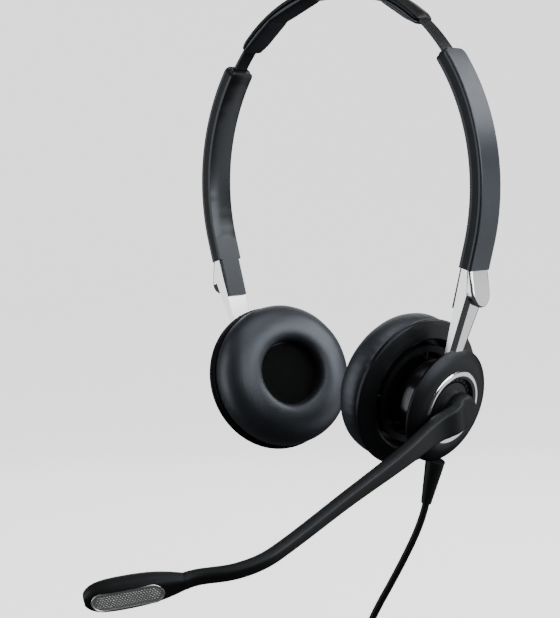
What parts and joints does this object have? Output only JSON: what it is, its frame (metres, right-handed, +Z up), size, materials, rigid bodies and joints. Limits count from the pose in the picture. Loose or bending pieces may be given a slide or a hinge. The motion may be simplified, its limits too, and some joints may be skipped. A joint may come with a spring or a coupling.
{
  "type": "office headset",
  "caption": "On-ear office headset: padded spring headband, sliding arms on chrome forks, swivelling ear cushions, turning microphone boom and a cord with a round plug.",
  "frame": {"origin": "underside of the head pad at the crown, on the headset's middle plane, where it rests on the head", "axes": "+Z up, +X towards the wearer's left, which is the boom side, -Y towards the way the wearer faces"},
  "size_m": [0.1406, 0.1629, 0.364],
  "materials": {
    "band_steel": "black satin spring steel",
    "headpad_shell": "satin black moulded",
    "cushion_leatherette": "soft blue-black leatherette",
    "pin_steel": "turned",
    "arm_core_plastic": "matte brownish black",
    "arm_gloss_plastic": "satin blue-grey charcoal",
    "spring_steel": "rolled",
    "fork_chrome": "polished and brushed facets",
    "ring_chrome": "polished",
    "hub_plastic": "matte black, fine texture",
    "neck_plastic": "gloss black",
    "cup_plastic": "satin black",
    "speaker_cloth": "fine acoustic cloth",
    "driver_paper": "formed film and paper",
    "magnet_steel": "plated",
    "boom_plastic": "matte black, olive grey in the light",
    "mic_mesh": "perforated",
    "capsule_metal": "plain",
    "cord_rubber": "smooth cable jacket",
    "tie_strap": "woven hook and loop",
    "plug_rubber": "matte moulded",
    "jack_metal": "plated, with insulating rings"
  },
  "bodies": {
    "headband": {"steel_band": "band_steel", "headpad_shell": "headpad_shell", "headpad_cushion": "cushion_leatherette", "headpad_rivets": "pin_steel", "band_end_shoes": "hub_plastic"},
    "left_arm": {"left_arm_frame": "arm_core_plastic", "left_arm_cover": "arm_gloss_plastic", "left_arm_inner_cover": "arm_core_plastic", "left_band_bush": "hub_plastic", "left_detent_spring": "spring_steel", "left_fork": "fork_chrome", "left_hub_housing": "hub_plastic", "left_hub_neck": "neck_plastic", "left_trim_ring": "ring_chrome", "left_swivel_pins": "pin_steel", "boom_axle": "pin_steel", "boom_detent_ring": "hub_plastic", "cord_strain_relief": "cord_rubber", "headset_cord": "cord_rubber", "cord_coil": "cord_rubber", "coil_tie": "tie_strap", "plug_cord": "cord_rubber", "plug_body": "plug_rubber", "plug_jack": "jack_metal"},
    "right_arm": {"right_arm_frame": "arm_core_plastic", "right_arm_cover": "arm_gloss_plastic", "right_arm_inner_cover": "arm_core_plastic", "right_band_bush": "hub_plastic", "right_detent_spring": "spring_steel", "right_fork": "fork_chrome", "right_hub_housing": "hub_plastic", "right_hub_neck": "neck_plastic", "right_trim_ring": "ring_chrome", "right_swivel_pins": "pin_steel", "right_hub_cap": "hub_plastic"},
    "left_gimbal": {"left_gimbal_ring": "hub_plastic", "left_tilt_pins": "pin_steel"},
    "right_gimbal": {"right_gimbal_ring": "hub_plastic", "right_tilt_pins": "pin_steel"},
    "left_cup": {"left_cup_back": "cup_plastic", "left_cup_partition": "cup_plastic", "left_cushion_flange": "cup_plastic", "left_ear_cushion": "cushion_leatherette", "left_baffle_plate": "cup_plastic", "left_speaker_cloth": "speaker_cloth", "left_speaker_driver": "driver_paper", "left_speaker_magnet": "magnet_steel"},
    "right_cup": {"right_cup_back": "cup_plastic", "right_cup_partition": "cup_plastic", "right_cushion_flange": "cup_plastic", "right_ear_cushion": "cushion_leatherette", "right_baffle_plate": "cup_plastic", "right_speaker_cloth": "speaker_cloth", "right_speaker_driver": "driver_paper", "right_speaker_magnet": "magnet_steel"},
    "mic_boom": {"boom_rotor": "boom_plastic", "boom_arm": "boom_plastic", "mic_body": "boom_plastic", "mic_grille": "mic_mesh", "mic_inner_grille": "mic_mesh", "mic_capsule": "capsule_metal"}
  },
  "joints": [
    {"name": "left_arm_slide", "type": "hinge", "parent": "headband", "child": "left_arm", "pos_m": [-0.01086, 0, -0.07059], "axis": [0, 1, 0], "range_deg": [-4.5, 5.5]},
    {"name": "left_cup_swivel", "type": "hinge", "parent": "left_arm", "child": "left_gimbal", "pos_m": [0.03641, 0, -0.14626], "axis": [0.2689, 0, 0.9632], "range_deg": [-10, 26]},
    {"name": "left_cup_tilt", "type": "hinge", "parent": "left_gimbal", "child": "left_cup", "pos_m": [0.03641, 0, -0.14626], "axis": [0.134, 0.9903, -0.0374], "range_deg": [-8, 8]},
    {"name": "right_arm_slide", "type": "hinge", "parent": "headband", "child": "right_arm", "pos_m": [0.01086, 0, -0.07059], "axis": [0, -1, 0], "range_deg": [-4.5, 5.5]},
    {"name": "right_cup_swivel", "type": "hinge", "parent": "right_arm", "child": "right_gimbal", "pos_m": [-0.03641, 0, -0.14626], "axis": [0.2689, 0, -0.9632], "range_deg": [-36, 0]},
    {"name": "right_cup_tilt", "type": "hinge", "parent": "right_gimbal", "child": "right_cup", "pos_m": [-0.03641, 0, -0.14626], "axis": [0.2976, 0.9511, 0.0831], "range_deg": [-8, 8]},
    {"name": "boom_rotate", "type": "hinge", "parent": "left_arm", "child": "mic_boom", "pos_m": [0.0523, 0, -0.1507], "axis": [0.9632, 0, -0.2689], "range_deg": [-100, 32]}
  ]
}
